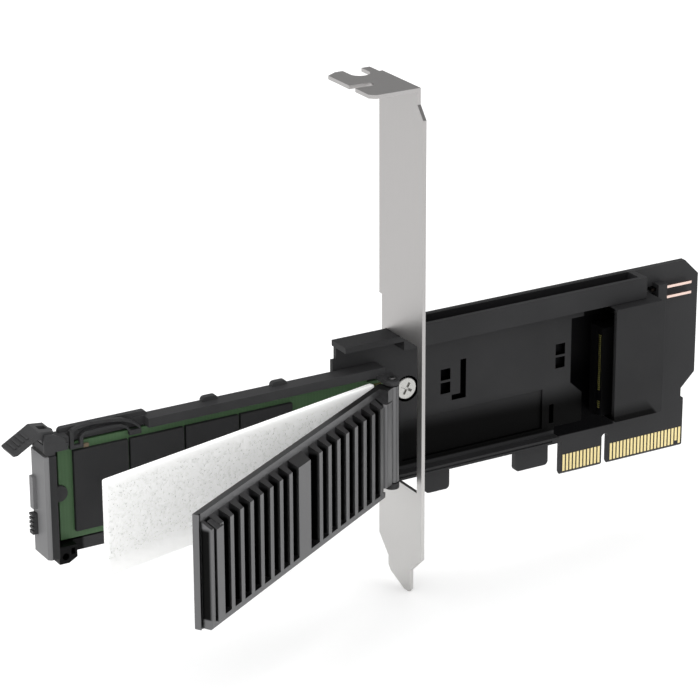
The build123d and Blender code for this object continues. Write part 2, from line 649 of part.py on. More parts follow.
def eject_lever():
    """Folding lever: hub with a flat top and a ridged arm. Closed it hangs down; drawn open."""
    x1 = LEVER_X - LEVER_OFFSET
    x0 = x1 - LEVER_ARM_T
    low = LEVER_Z - LEVER_ARM
    side = [(x1, low + 0.9), (x1 - 0.4, low), (x0, low), (x0, LEVER_Z - 0.6),
            (LEVER_X - 0.7, LEVER_Z + 2.1), (LEVER_X + 0.4, LEVER_Z + 1.4),
            (LEVER_X + 0.3, LEVER_Z - 1.1), (LEVER_X - 0.9, LEVER_Z - 1.15), (x1, LEVER_Z - 2.0)]
    lever = plate_xz(side, LEVER_FAR, LEVER_NEAR)
    lever += rod_y(LEVER_X, LEVER_Z, LEVER_HUB_R, LEVER_NEAR, LEVER_FAR)
    corners = lever.edges().filter_by(Axis.X).filter_by(lambda e: abs(e.center().Z - low) < 0.01)
    lever = chamfer(corners, 0.25)
    for i in range(LEVER_RIDGES):
        z = low + 1.2 + i * 1.1
        lever += block(x0 - 0.25, x0, LEVER_NEAR + 0.6, LEVER_FAR - 0.6, z, z + 0.45)
    lever -= rod_y(LEVER_X, LEVER_Z, LEVER_PIN_R + PIN_CLEAR, LEVER_NEAR - 1, LEVER_FAR + 1)
    lever = lever.rotate(Axis((LEVER_X, 0, LEVER_Z), (0, 1, 0)), LEVER_OPEN)
    mid = (LEVER_NEAR + LEVER_FAR) / 2
    half = LEVER_HOLE / 2
    return lever - block(LEVER_X - half, LEVER_X + half, mid - half, mid + half,
                         LEVER_Z + LEVER_PIN_R + 0.3, LEVER_Z + 4)


def lever_pin():
    """Pin between the two cheeks, through the lever's hub."""
    return rod_y(LEVER_X, LEVER_Z, LEVER_PIN_R, LEVER_NEAR - LEVER_GAP - CHEEK_T,
                 LEVER_FAR + LEVER_GAP + CHEEK_T)


def band(points):
    """A flat sprung band whose upper edge runs through points in X and Z."""
    lower = [(x, z - CLIP_T) for x, z in reversed(points)]
    return plate_xz(points + lower, CLIP_Y[0], CLIP_Y[1])


def retaining_clip():
    """Double arch that presses on the drive's upper edge, with a foot at each end."""
    x = DRIVE_OUT
    z = DRIVE_TOP
    clip = band([(x + shift, z + rise) for shift, rise in OUTER_ARCH])
    clip += band([(x + shift, z + rise) for shift, rise in INNER_ARCH])
    clip += block(x + 2.6, x + 3.5, CLIP_Y[0], CLIP_Y[1], z - 0.8, z + 3.0)
    clip += block(x + 4.9, x + 5.7, CLIP_Y[0], CLIP_Y[1], z - 0.8, z + 1.4)
    clip += block(x + 2.6, x + 5.7, CLIP_Y[0], CLIP_Y[1], z - 1.2, z - 0.4)
    clip += block(x + CLIP_FOOT[0], x + CLIP_FOOT[1], CLIP_Y[0], CLIP_Y[1], z - 0.9, z + 0.2)
    return clip + block(x + 2.6, x + 5.7, DRIVE_FRONT, CLIP_Y[1], z - 1.2, z - 0.6)


def drive_board():
    """M.2 board with its end notch, key slot and narrow contact tongue."""
    y0 = DRIVE_BACK + BEYOND
    y1 = DRIVE_FRONT - BEYOND
    board = block(DRIVE_OUT, DRIVE_IN, DRIVE_BACK, DRIVE_FRONT, DRIVE_LOW, DRIVE_TOP)
    for z0, z1 in ((DRIVE_LOW - 1, DRIVE_LOW + TONGUE_CUT), (DRIVE_TOP - TONGUE_CUT, DRIVE_TOP + 1)):
        board -= block(DRIVE_IN - TONGUE_L, DRIVE_IN + 1, y0, y1, z0, z1)
    board -= rod_y(DRIVE_OUT, DRIVE_MID, STUD_R + STUD_GAP, y0, y1)
    key = DRIVE_MID - KEY_DROP
    return board - block(DRIVE_IN - TONGUE_L + 0.5, DRIVE_IN + 1, y0, y1, key - KEY_HALF,
                         key + KEY_HALF)


def drive_flash_chips():
    """Four memory chips in a row."""
    chips = []
    for i in range(CHIP_COUNT):
        x = DRIVE_OUT + CHIP_START + i * CHIP_PITCH
        chips.append(block(x, x + CHIP_PITCH - CHIP_GAP, DRIVE_FRONT, CHIP_FRONT,
                           DRIVE_MID - CHIP_HALF, DRIVE_MID + CHIP_HALF))
    return Compound(children=chips)


def drive_controller():
    """Control chip near the drive's contacts."""
    x = DRIVE_IN - CONTROLLER_FROM_END
    return block(x, x + CONTROLLER_L, DRIVE_FRONT, CHIP_FRONT, DRIVE_MID - CONTROLLER_HALF,
                 DRIVE_MID + CONTROLLER_HALF)


def drive_contacts():
    """Gold contacts along the drive's inner end."""
    key = DRIVE_MID - KEY_DROP
    x = DRIVE_IN - TONGUE_BARE
    fingers = []
    for i in range(PIN_COUNT):
        z = DRIVE_MID + (i - (PIN_COUNT - 1) / 2) * PIN_PITCH
        if abs(z - key) > KEY_HALF + 0.3:
            fingers.append(block(x - TONGUE_GOLD, x, DRIVE_FRONT, DRIVE_FRONT - CONTACT_T,
                                 z - FINGER_HALF, z + FINGER_HALF))
    return Compound(children=fingers)


def drive_small_parts():
    """Small capacitors near the contacts, and one by the clip's foot."""
    x = DRIVE_IN - CONTROLLER_FROM_END + CONTROLLER_L + 1.6
    parts = [block(DRIVE_OUT + 5.9, DRIVE_OUT + 7.1, DRIVE_FRONT, DRIVE_FRONT - 0.6,
                   DRIVE_TOP - 1.5, DRIVE_TOP - 0.7)]
    for z in (-8.0, -5.5, 3.0, 5.5, 8.0):
        parts.append(block(x, x + 1.4, DRIVE_FRONT, DRIVE_FRONT - 0.6, DRIVE_MID + z,
                           DRIVE_MID + z + 0.8))
    return Compound(children=parts)


def raised(s0, s1, low, root=0.0):
    """Raised part on the lid from s0 to s1, counted from the hinge outwards, with a sloped top."""
    tip = LID_FRONT - FIN_H
    x0 = HINGE_X - s0
    x1 = HINGE_X - s1
    points = [(x0 - root, LID_FRONT), (x0, tip), (x1, tip), (x1 + root, LID_FRONT)]
    high = LID_HIGH - SLAB_IN
    wedge = [(LID_FRONT, high), (tip - BEYOND, high + BEYOND),
             (tip - BEYOND, high - FIN_SLOPE * (FIN_H + BEYOND) / FIN_H)]
    return plate_xy(points, low, high) - plate_yz(wedge, x0 - 3, x1 + 3)


def lid_closed():
    """Heatsink lid in its closed place: plate, bars, fins, lower rim and hinge knuckle."""
    neck_low = TRAY_LOW + 1.4 + SLIDE_GAP
    low = LID_LOW + 0.2
    lid = block(LID_OUT, HINGE_X - NECK_L + 0.2, LID_BACK, LID_FRONT, LID_LOW, LID_HIGH)
    lid += block(HINGE_X - NECK_L, HINGE_X - 0.6, LID_BACK, LID_FRONT, neck_low, LID_HIGH)
    lid -= block(LID_OUT + LID_END_T, LID_OUT + LID_END_T + LID_GROOVE, LID_FRONT - 1,
                 LID_FRONT + LID_GROOVE, LID_LOW - 1, LID_HIGH + 1)
    taper = (FIN_ROOT - FIN_T) / 2
    root = low + LID_RIM / 2
    lid += raised(OUTER_BAR[0], OUTER_BAR[1], root)
    for i in range(FIN_COUNT):
        for first, pitch in ((FIN_FIRST, FIN_PITCH), (FIN_SECOND, FIN_PITCH_2)):
            s = first - i * pitch + FIN_T / 2
            lid += raised(s, s - FIN_T, root, taper)
    lid += raised(MIDDLE_BLOCK[0], MIDDLE_BLOCK[1], root, taper)
    rim = block(HINGE_X - OUTER_BAR[0], HINGE_X - INNER_BAR[0], LID_FRONT, LID_FRONT - FIN_H,
                low, low + LID_RIM)
    lid += chamfer(rim.edges().filter_by(Axis.X).group_by(Axis.Z)[0].sort_by(Axis.Y)[0], 0.5)
    end = raised(INNER_BAR[0], INNER_BAR[1], low)
    end = fillet(end.edges().filter_by(Axis.Z).group_by(Axis.Y)[0], 1.2)
    end &= block(HINGE_X - 9, HINGE_X, LID_FRONT, LID_FRONT - FIN_H, neck_low, LID_HIGH)
    lid += end
    knuckle = rod_z(HINGE_X, HINGE_Y, KNUCKLE_R, neck_low, LID_HIGH)
    knuckle += block(HINGE_X - NECK_L, HINGE_X, LID_FRONT + 0.4, HINGE_Y - 1.0, neck_low, LID_HIGH)
    return lid + knuckle - rod_z(HINGE_X, HINGE_Y, PIN_R + PIN_CLEAR, 0, 2 * LID_HIGH)


def thermal_pad():
    """Soft pad between drive and lid, drawn part way open."""
    pad = block(DRIVE_OUT - PAD_OVER, HINGE_X - PAD_IN, PAD_BACK, PAD_FRONT,
                DRIVE_LOW - PAD_DROP, DRIVE_TOP - 0.2 - PAD_DROP)
    return pad.rotate(HINGE, PAD_OPEN)


def main():
    os.makedirs("parts", exist_ok=True)
    save("circuit_board", circuit_board())
    save("edge_contacts_front", contact_row(BOARD_FRONT, -1))
    save("edge_contacts_back", contact_row(BOARD_BACK, 1))
    save("bracket", bracket())
    save("bay_frame", bay_frame())
    save("socket_cover", socket_cover())
    save("m2_socket", m2_socket())
    save("m2_socket_contacts", m2_contacts())
    save("bracket_screw", bracket_screw())
    save("led_header", led_header())
    save("led_header_pins", led_header_pins())
    save("regulator", back_part(REGULATOR, BOARD_BACK))
    coil = back_part(COIL, BOARD_BACK)
    save("power_inductor", fillet(coil.edges().filter_by(Axis.Y), 0.8))
    save("ceramic_capacitors", back_capacitors())
    save("tray", tray())
    save("tray_bezel", tray_bezel())
    save("release_button", release_button())
    save("eject_lever", eject_lever())
    save("lever_pin", lever_pin())
    save("drive_board", drive_board())
    save("drive_flash_chips", drive_flash_chips())
    save("drive_controller", drive_controller())
    save("drive_contacts", drive_contacts())
    save("drive_small_parts", drive_small_parts())
    save("retaining_stud", rod_y(DRIVE_OUT, DRIVE_MID, STUD_R, FLOOR_FRONT, DRIVE_FRONT - 0.5))
    save("retaining_clip", retaining_clip())
    save("heatsink_lid", lid_closed().rotate(HINGE, LID_OPEN))
    save("hinge_pin", rod_z(HINGE_X, HINGE_Y, PIN_R, TRAY_LOW, LID_HIGH + 1.9))
    save("thermal_pad", thermal_pad())


main()
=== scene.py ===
import json
from math import cos, radians, sin

import bmesh
import bpy
from mathutils import Matrix, Vector


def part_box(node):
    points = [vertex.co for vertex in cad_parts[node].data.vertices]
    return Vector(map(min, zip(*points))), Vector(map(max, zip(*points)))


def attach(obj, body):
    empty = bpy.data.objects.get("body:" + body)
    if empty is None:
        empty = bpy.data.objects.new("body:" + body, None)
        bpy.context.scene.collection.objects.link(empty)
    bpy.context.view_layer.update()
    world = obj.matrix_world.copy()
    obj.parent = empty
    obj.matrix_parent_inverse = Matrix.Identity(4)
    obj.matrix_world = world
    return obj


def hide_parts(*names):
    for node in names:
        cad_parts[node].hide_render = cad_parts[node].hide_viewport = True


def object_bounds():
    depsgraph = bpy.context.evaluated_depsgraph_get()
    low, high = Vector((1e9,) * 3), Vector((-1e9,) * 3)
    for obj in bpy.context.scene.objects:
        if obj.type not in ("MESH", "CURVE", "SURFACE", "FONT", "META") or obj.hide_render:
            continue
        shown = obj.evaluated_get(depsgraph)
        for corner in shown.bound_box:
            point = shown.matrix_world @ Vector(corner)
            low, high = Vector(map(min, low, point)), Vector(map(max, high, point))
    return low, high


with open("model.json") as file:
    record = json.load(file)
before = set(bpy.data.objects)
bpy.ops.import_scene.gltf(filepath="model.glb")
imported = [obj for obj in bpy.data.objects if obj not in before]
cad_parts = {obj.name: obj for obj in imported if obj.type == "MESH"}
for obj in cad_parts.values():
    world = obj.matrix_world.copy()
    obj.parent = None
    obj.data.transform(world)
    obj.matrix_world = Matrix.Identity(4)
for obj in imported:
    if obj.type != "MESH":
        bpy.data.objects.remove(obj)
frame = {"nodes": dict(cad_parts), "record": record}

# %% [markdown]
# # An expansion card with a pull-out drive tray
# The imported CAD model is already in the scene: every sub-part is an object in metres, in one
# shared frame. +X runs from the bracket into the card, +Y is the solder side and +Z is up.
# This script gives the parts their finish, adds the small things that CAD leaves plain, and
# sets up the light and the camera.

MM = 0.001
cad_box = [list(corner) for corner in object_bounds()]
print("CAD box in metres:", cad_box)

# %% [markdown]
# ## Shader maths in plain Python
# A shader is a graph of nodes, and wiring Math nodes by hand is slow to read. A small class
# that wraps one socket lets us write `1 - mask * 0.4` and get the nodes for it. Colours must
# not go through Math nodes, which turn them grey, so they have a mix of their own.


# %% A socket that Python can calculate with
class Field:
    """A value that changes over the surface: one output socket of a node tree."""

    def __init__(self, tree, socket):
        self.tree = tree
        self.socket = socket

    def math(self, operation, *values):
        """Adds a Math node that works on these values."""
        return self.tree.add("ShaderNodeMath", {"operation": operation}, dict(enumerate(values)))

    def __add__(self, other):
        return self.math("ADD", self, other)

    def __sub__(self, other):
        return self.math("SUBTRACT", self, other)

    def __rsub__(self, other):
        return self.math("SUBTRACT", other, self)

    def __mul__(self, other):
        return self.math("MULTIPLY", self, other)

    __radd__ = __add__
    __rmul__ = __mul__


class Shader:
    """The node tree of one material, with one method that adds any node."""

    def __init__(self, name):
        self.material = bpy.data.materials.new(name)
        self.material.use_nodes = True
        self.nodes = self.material.node_tree.nodes
        self.links = self.material.node_tree.links
        self.nodes.clear()
        self.out = self.nodes.new("ShaderNodeOutputMaterial")
        self.coords = self.add("ShaderNodeTexCoord", {}, {}, "Object")

    def plug(self, socket, value):
        """Links a field to an input, or sets the input to a fixed value."""
        if isinstance(value, Field):
            self.links.new(value.socket, socket)
        else:
            socket.default_value = value

    def add(self, kind, settings=None, values=None, output=0):
        """Adds a node: first its settings, then its inputs. Gives one of its outputs."""
        node = self.nodes.new(kind)
        for key, value in (settings or {}).items():
            if key == "stops":
                self.set_stops(node.color_ramp, value)
            else:
                setattr(node, key, value)
        for key, value in (values or {}).items():
            self.plug(node.inputs[key], value)
        return Field(self, node.outputs[output])

    @staticmethod
    def set_stops(ramp, stops):
        """Gives a ramp its stops, as (place, grey level) pairs."""
        while len(ramp.elements) < len(stops):
            ramp.elements.new(1.0)
        for element, (place, level) in zip(ramp.elements, stops):
            element.position = place
            element.color = (level, level, level, 1.0)

    def scaled(self, sx, sy, sz):
        """Object coordinates stretched along each axis."""
        return self.add("ShaderNodeMapping", {}, {"Vector": self.coords, "Scale": (sx, sy, sz)})

    def axes(self):
        """The object's three coordinates, in metres."""
        return self.axis("X"), self.axis("Y"), self.axis("Z")

    def axis(self, letter):
        """One of the object's coordinates, in metres."""
        return self.add("ShaderNodeSeparateXYZ", {}, {"Vector": self.coords}, letter)

    def larger(self, first, second):
        return self.add("ShaderNodeMath", {"operation": "MAXIMUM"}, {0: first, 1: second})

    def above(self, value, edge, soft):
        """0 below an edge and 1 above it, soft over a width. Both are in millimetres."""
        return self.add("ShaderNodeMapRange", {"interpolation_type": "SMOOTHSTEP"},
                        {"Value": value, "From Min": (edge - soft / 2) * MM,
                         "From Max": (edge + soft / 2) * MM})

    def below(self, value, edge, soft):
        """1 below an edge and 0 above it."""
        return 1 - self.above(value, edge, soft)

    def noise(self, scale, detail=2.0, rough=0.5, vector=None):
        """Soft random blotches. scale counts them per metre."""
        inputs = {"Vector": vector or self.coords, "Scale": scale, "Detail": detail,
                  "Roughness": rough}
        return self.add("ShaderNodeTexNoise", {}, inputs, "Fac")

    def cells(self, scale):
        """The distance to the nearest of many scattered points."""
        return self.add("ShaderNodeTexVoronoi", {}, {"Vector": self.coords, "Scale": scale},
                        "Distance")

    def steps(self, value, *stops):
        """Bends a value along a ramp given as (place, level) stops."""
        return self.add("ShaderNodeValToRGB", {"stops": stops}, {"Fac": value})

    def mix(self, factor, low, high):
        """Goes from one colour to another."""
        node = self.nodes.new("ShaderNodeMix")
        node.data_type = "RGBA"
        for socket, value in ((node.inputs[0], factor), (node.inputs[6], low),
                              (node.inputs[7], high)):
            self.plug(socket, value)
        return Field(self, node.outputs[2])

    def bump(self, height, depth, strength=0.5):
        """Turns a height field into small dents and rises, depth in metres."""
        inputs = {"Height": height, "Distance": depth, "Strength": strength}
        return self.add("ShaderNodeBump", {}, inputs)

    def surface(self, **values):
        """Ends the tree in a Principled surface and gives the material."""
        inputs = {key.replace("_", " "): value for key, value in values.items()}
        bsdf = self.add("ShaderNodeBsdfPrincipled", {}, inputs)
        self.links.new(bsdf.socket, self.out.inputs["Surface"])
        return self.material


def rgb(r, g, b):
    """A colour given in screen values from 0 to 255, as the linear one that shaders use."""
    def linear(v):
        v = v / 255
        return v / 12.92 if v <= 0.04045 else ((v + 0.055) / 1.055) ** 2.4
    return (linear(r), linear(g), linear(b), 1.0)


def grey(level):
    """A neutral grey, with the trace of blue that black plastic and dark metal have."""
    return rgb(level, level, level + 1)


# %% [markdown]
# ## Moulded plastic
# The wall, the tray and the socket cap are injection moulded. The mould is spark-eroded, so
# the surface has a fine even grain, and handling leaves slightly shinier patches. The resin is
# matt, so most of its light comes from the colour and little from the gloss.

# %% Moulded plastic
SHADE = rgb(14, 14, 14)
GRAIN = 6500.0
FINE_GRAIN = 9000.0
GRAIN_DEPTH = 0.04 * MM


def grained(s, dark, light, roughness, grain=GRAIN):
    """The colour, roughness and normal that all the plastics share."""
    patch = s.noise(60.0, 3.0)
    fine = s.noise(grain, 2.0, 0.6)
    colour = s.mix(s.steps(patch, (0.35, 0.0), (0.65, 1.0)), grey(dark), grey(light))
    return colour, patch * 0.12 + (roughness - 0.06), s.bump(fine, GRAIN_DEPTH, 0.35)


def moulded(name, dark, light, roughness, grain=GRAIN, shine=0.12, shade=None):
    """Matt plastic. shade(s) gives the mask of what lies in deep shade."""
    s = Shader(name)
    colour, rough, normal = grained(s, dark, light, roughness, grain)
    if shade is None:
        return s.surface(Base_Color=colour, Roughness=rough, Specular_IOR_Level=shine,
                         Normal=normal)
    mask = shade(s)
    return s.surface(Base_Color=s.mix(mask, colour, SHADE), Metallic=mask, Roughness=rough,
                     Specular_IOR_Level=shine, Normal=normal)


# %% [markdown]
# ## Deep shade
# Some faces lie deep in the shade of a rail, or in a hole, and look almost black. A mask from
# the Object coordinates darkens them. The places are on the card, in millimetres, so they are
# easy to compare with the CAD parts. Each edge of a mask has a width over which it is soft.

# %% Masks of what lies in the shade
# On the wall: the tray's low run, the recessed field, the rail's channel, the socket's pocket.
PLATE_BACK = -59.6
RUN_RISE, RUN_TOP = 0.04, 20.75
WALL_FOOT = 12.5
WALL_FACE, FIELD_FLOOR = -1.92, -1.40
FIELD_LOW, FIELD_HIGH = 12.6, 24.5
CHANNEL_LOW = 41.7
POCKET_SIDE, POCKET_LOW, POCKET_HIGH = -7.8, 29.25, 42.1
# On the cap: its low band with a soft edge, the slanting end of the band, and its near side.
CAP_BAND, CAP_BLUR = 15.95, 17.0
CAP_LEAN, CAP_END = 0.8, 20.2
CAP_SIDE, CAP_DEPTH = -3.225, -8.0
# On the tray and on its bezel.
LATCH_SIDE, LATCH_TOP = -138.4, 15.1
BEZEL_BACK = -147.2


def wall_shade(s):
    """The low run of the tray in the wall, with a soft upper edge, and what lies in holes."""
    x, y, z = s.axes()
    inside = s.above(x, PLATE_BACK, soft=1.2)
    low = s.below(z + x * RUN_RISE, RUN_TOP, soft=6.5) * s.above(z, WALL_FOOT, soft=0.4) * inside
    upper = s.above(y, WALL_FACE, soft=0.04) * s.above(z, FIELD_HIGH, soft=0.2)
    lower = s.above(y, FIELD_FLOOR, soft=0.04) * s.above(z, FIELD_LOW, soft=0.2)
    holes = s.larger(upper, lower) * s.below(z, CHANNEL_LOW, soft=0.2) * inside
    beside = s.above(x, POCKET_SIDE, soft=0.4) * s.above(z, POCKET_LOW, soft=0.5)
    return s.larger(s.larger(low, holes), beside * s.below(z, POCKET_HIGH, soft=0.2))


def cap_shade(s):
    """The soft dark band along the cap's lower edge, and its side by the socket."""
    x, y, z = s.axes()
    band = s.larger(s.below(z, CAP_BAND, soft=1.3), s.below(z, CAP_BLUR, soft=4.0) * 0.75)
    side = s.below(x, CAP_SIDE, soft=0.25) * s.above(y, CAP_DEPTH, soft=1.0)
    return s.larger(band * s.below(x + z * CAP_LEAN, CAP_END, soft=1.0), side)


def latch_shade(s):
    """The latch block at the tray's lower outer corner lies in its own shade."""
    x, y, z = s.axes()
    return s.below(x, LATCH_SIDE, soft=0.8) * s.below(z, LATCH_TOP, soft=0.6) * 0.85


def bezel_plastic(name):
    """A light front face; the bezel's side face is painted dark grey: painted shade."""
    s = Shader(name)
    light, rough, normal = grained(s, 112, 120, 0.42)
    # The side face's dark grey is painted shade.
    side = s.above(s.axis("X"), BEZEL_BACK, soft=0.1)
    return s.surface(Base_Color=s.mix(side, light, grey(45)), Roughness=rough,
                     Specular_IOR_Level=0.15, Normal=normal)


frame_black = moulded("wall_plastic", 43, 48, 0.50, shade=wall_shade)
cap_black = moulded("cap_plastic", 41, 46, 0.50, shade=cap_shade)
tray_black = moulded("tray_plastic", 53, 59, 0.48, shade=latch_shade)
lever_black = moulded("lever_plastic", 58, 64, 0.42, shine=0.2)
socket_black = moulded("socket_plastic", 6, 10, 0.55, shine=0.05)
chip_black = moulded("chip_resin", 44, 48, 0.55, FINE_GRAIN)
header_black = moulded("header_plastic", 45, 50, 0.50)
bezel_grey = bezel_plastic("bezel_plastic")
plastics = (frame_black, cap_black, tray_black, lever_black, socket_black, chip_black,
            header_black, bezel_grey)
print("moulded plastics:", ", ".join(plastic.name for plastic in plastics))

# %% [markdown]
# ## Plated sheet steel
# The bracket is cut from nickel-plated strip. Rolling leaves very faint lines along the
# strip, which blur reflections one way, and the plating has a slight cloudiness. Towards its
# lower end the bracket is painted a little lighter, a painted reflection of the bright floor.
# Gold contacts are the same with warmer colours; the drive's contacts get a darker gold, which
# is painted shade.

# %% Plated steel and gold
LINES = 900.0
FINE_LINES = 2500.0
EVEN = (1.0, 1.0, 1.0)
UPRIGHT = (3.0, 3.0, 0.4)
# The height below which the bracket is painted lighter, as a painted reflection, in millimetres.
FADE_TOP = 34.0


def plated(name, dark, light, roughness, stretch, lines=LINES, foot=None):
    """Plated metal with faint lines. foot is the lighter colour that it fades to at the lower
    end: a painted reflection.
    """
    s = Shader(name)
    streaks = s.noise(lines, 3.0, 0.6, s.scaled(*stretch))
    cloud = s.noise(45.0, 3.0)
    colour = s.mix(streaks * 0.5 + cloud * 0.5, dark, light)
    if foot:
        colour = s.mix(s.below(s.axis("Z"), FADE_TOP / 2, soft=FADE_TOP) * 0.8, colour, foot)
    rough = streaks * 0.10 + cloud * 0.10 + (roughness - 0.10)
    return s.surface(Base_Color=colour, Metallic=1.0, Roughness=rough,
                     Normal=s.bump(streaks, 0.02 * MM, 0.25))


# The bracket's lighter foot colour is a painted reflection of the bright floor.
bracket_steel = plated("bracket_steel", rgb(173, 171, 170), rgb(188, 186, 185), 0.40,
                       (4.0, 4.0, 0.12), foot=rgb(212, 211, 209))
screw_steel = plated("screw_steel", rgb(168, 168, 165), rgb(206, 205, 202), 0.28, EVEN,
                     FINE_LINES)
pin_steel = plated("pin_steel", rgb(108, 108, 108), rgb(132, 132, 132), 0.34, (3.0, 3.0, 0.3))
contact_gold = plated("contact_gold", rgb(236, 214, 148), rgb(252, 238, 184), 0.30, UPRIGHT,
                      1500.0)
socket_gold = plated("socket_gold", rgb(206, 200, 120), rgb(232, 224, 140), 0.45, UPRIGHT)
# The drive's contacts sit in shade in the tray: this darker gold is painted shade.
painted_shade_gold = plated("painted_shade_gold", rgb(60, 56, 34), rgb(84, 78, 48), 0.45, UPRIGHT)

# The pins come out of the shade at this X, in millimetres.
HEADER_SHADE = 14.4


def header_gold(name):
    """Rose gold pins, dull where they sit in the shade of the rail."""
    s = Shader(name)
    streaks = s.noise(LINES, 3.0, 0.6, s.scaled(1.0, 3.0, 3.0))
    colour = s.mix(streaks, rgb(226, 196, 184), rgb(246, 222, 212))
    colour = s.mix(s.above(s.axis("X"), HEADER_SHADE, soft=0.4), rgb(24, 20, 18), colour)
    return s.surface(Base_Color=colour, Metallic=1.0, Roughness=streaks * 0.1 + 0.2)


pin_gold = header_gold("pin_gold")

# %% [markdown]
# ## Boards
# A circuit board is glass cloth in resin under a coloured lacquer. The copper tracks below
# the lacquer make it a little lighter, and the cloth gives it a very faint relief. The card's
# own board is black. Behind the wall only its holes and the pocket by the socket show it, and
# there it lies in the shade too, which is painted near black. The board in the rail's channel
# gets a painted shade as well.

# %% Board lacquer
CLOUDS = 70.0
CLOTH = 2200.0
TRACK_PITCH = 1.6 * MM
# Places on the card's board, in millimetres.
CONTACTS_TOP = 9.95
COVER_NEAR, COVER_FAR, COVER_LOW, COVER_FOOT = 2.3, 9.5, 14.75, 12.85
BOARD_CHANNEL_LOW, BOARD_CHANNEL_END = 41.8, 5.15
POCKET_NEAR, POCKET_MIDDLE = -16.1, 28.0


def lacquered(s, colour, roughness, shine, metallic=0.0):
    """Ends the tree of a board: the cloth under the lacquer is its relief."""
    cloth = s.noise(CLOTH)
    return s.surface(Base_Color=colour, Metallic=metallic, Roughness=cloth * 0.10 + roughness,
                     Specular_IOR_Level=shine, Normal=s.bump(cloth, 0.02 * MM, 0.25))


def drive_lacquer(name):
    """Green lacquer over a fine pattern of tracks."""
    s = Shader(name)
    tracks = s.add("ShaderNodeTexBrick", {"offset": 0.5},
                   {"Vector": s.coords, "Scale": 1 / TRACK_PITCH, "Mortar Size": 0.08,
                    "Color1": (0.0, 0.0, 0.0, 1.0), "Color2": (0.3, 0.3, 0.3, 1.0),
                    "Mortar": (1.0, 1.0, 1.0, 1.0)}, "Fac")
    colour = s.mix(s.noise(CLOUDS) * 0.7 + tracks * 0.15, rgb(64, 90, 62), rgb(80, 108, 76))
    return lacquered(s, colour, 0.35, 0.2)


def card_lacquer(name):
    """Black lacquer with painted shade: near black behind the wall, where only its holes show
    it, and darker in the rail's channel.
    """
    s = Shader(name)
    x, y, z = s.axes()
    front = s.below(y, 0.0, soft=0.4) * s.above(z, CONTACTS_TOP, soft=0.3)
    under = s.below(z, BOARD_CHANNEL_LOW, soft=0.4)
    beside = s.below(x, COVER_NEAR, soft=0.6)
    covered = s.below(x, COVER_FAR, soft=0.2) * s.above(z, COVER_LOW, soft=0.5)
    foot = s.below(x + z * CAP_LEAN, CAP_END, soft=1.0) * s.below(z, COVER_LOW, soft=0.5)
    foot = foot * s.above(z, COVER_FOOT, soft=0.7)
    behind = s.larger(s.larger(beside, foot), covered) * under * front
    # In the rail's channel the board is painted darker: painted shade.
    channel = s.below(x, BOARD_CHANNEL_END, soft=0.3) * (1 - under) * front
    pocket = s.above(x, POCKET_NEAR, soft=0.2) * s.above(z, POCKET_MIDDLE, soft=8.0)
    plain = s.mix(channel, s.mix(s.noise(CLOUDS), grey(48), grey(54)), grey(30))
    colour = s.mix(behind, plain, s.mix(pocket, grey(3), grey(16)))
    return lacquered(s, colour, 0.42, 0.12, metallic=behind)


board_mask = card_lacquer("board_lacquer")
board_green = drive_lacquer("drive_lacquer")
print("lacquers:", board_mask.name, board_green.name)

# %% [markdown]
# ## Anodised aluminium
# The heatsink lid is bead-blasted and dyed dark. Anodising leaves a metal sheen that is soft
# and even, with the tiny pits of the blasting. The spaces between its fins are narrow and deep
# and get hardly any light, so they are painted near black: a painted shade. The lid stands open,
# so the mask of this painted shade measures how far a point lies out from the line of its hinge.
# The hinge and the angle come from the record's joints: the lowest angle of the joint is the
# closed lid.

# %% Anodised lid
JOINTS = {joint["name"]: joint for joint in frame["record"]["behaviour"]["joints"]}
LID_ANGLE = radians(-JOINTS["lid_hinge"]["range_deg"][0])
LID_HINGE = Vector((*JOINTS["lid_hinge"]["pos_m"][:2], 0.0))
# How far in from the fins' faces the spaces are painted dark, as painted shade, and over what
# height, in millimetres.
GAP_LIP, GAP_FLOOR = 0.8, 2.8
GAP_LOW, GAP_HIGH = 13.3, 33.3
lid_out = Vector((sin(LID_ANGLE), -cos(LID_ANGLE), 0.0))


def outermost(node, outward, start):
    """How far a CAD part reaches out from a place along a direction, in metres."""
    return max((v.co - start).dot(outward) for v in frame["nodes"][node].data.vertices)


lid_face = outermost("heatsink_lid", lid_out, LID_HINGE)
print("the lid's fins reach", round(lid_face / MM, 2), "mm out of its hinge line")


def anodised(name, dark, light, roughness):
    """Soft metal sheen with the pits of blasting, and painted shade down between the fins."""
    s = Shader(name)
    cloud = s.noise(50.0, 3.0)
    pits = s.noise(5200.0, 2.0, 0.7)
    x, y, z = s.axes()
    out = x * lid_out.x + y * lid_out.y - LID_HINGE.dot(lid_out)
    face = lid_face / MM
    gap = s.below(out, face - GAP_LIP, soft=0.8) * s.above(out, face - GAP_FLOOR, soft=0.4)
    gap = gap * s.above(z, GAP_LOW, soft=0.4) * s.below(z, GAP_HIGH, soft=1.0)
    # Between the fins the colour is painted near black: painted shade.
    colour = s.mix(gap, s.mix(cloud, dark, light), rgb(20, 20, 20))
    return s.surface(Base_Color=colour, Metallic=1.0, Roughness=cloud * 0.10 + roughness,
                     Normal=s.bump(pits, 0.05 * MM, 0.25))


lid_aluminium = anodised("lid_aluminium", rgb(106, 106, 107), rgb(116, 116, 117), 0.28)
print("lid finish:", lid_aluminium.name)

# %% [markdown]
# ## Silicone and ceramic
# The thermal pad is white silicone filled with fine grey ceramic grains. It has a little glow
# of its own colour, which is painted light: it lifts the shade that the lid casts on the pad, so
# that the pad looks evenly white. Its upper and lower rims are paler. The capacitors are fired
# ceramic, brown and finely mottled.

# %% Silicone pad and ceramic
# The heights at which the pad's rims get paler, in millimetres.
PALE_LOW, PALE_HIGH = 18.0, 35.25


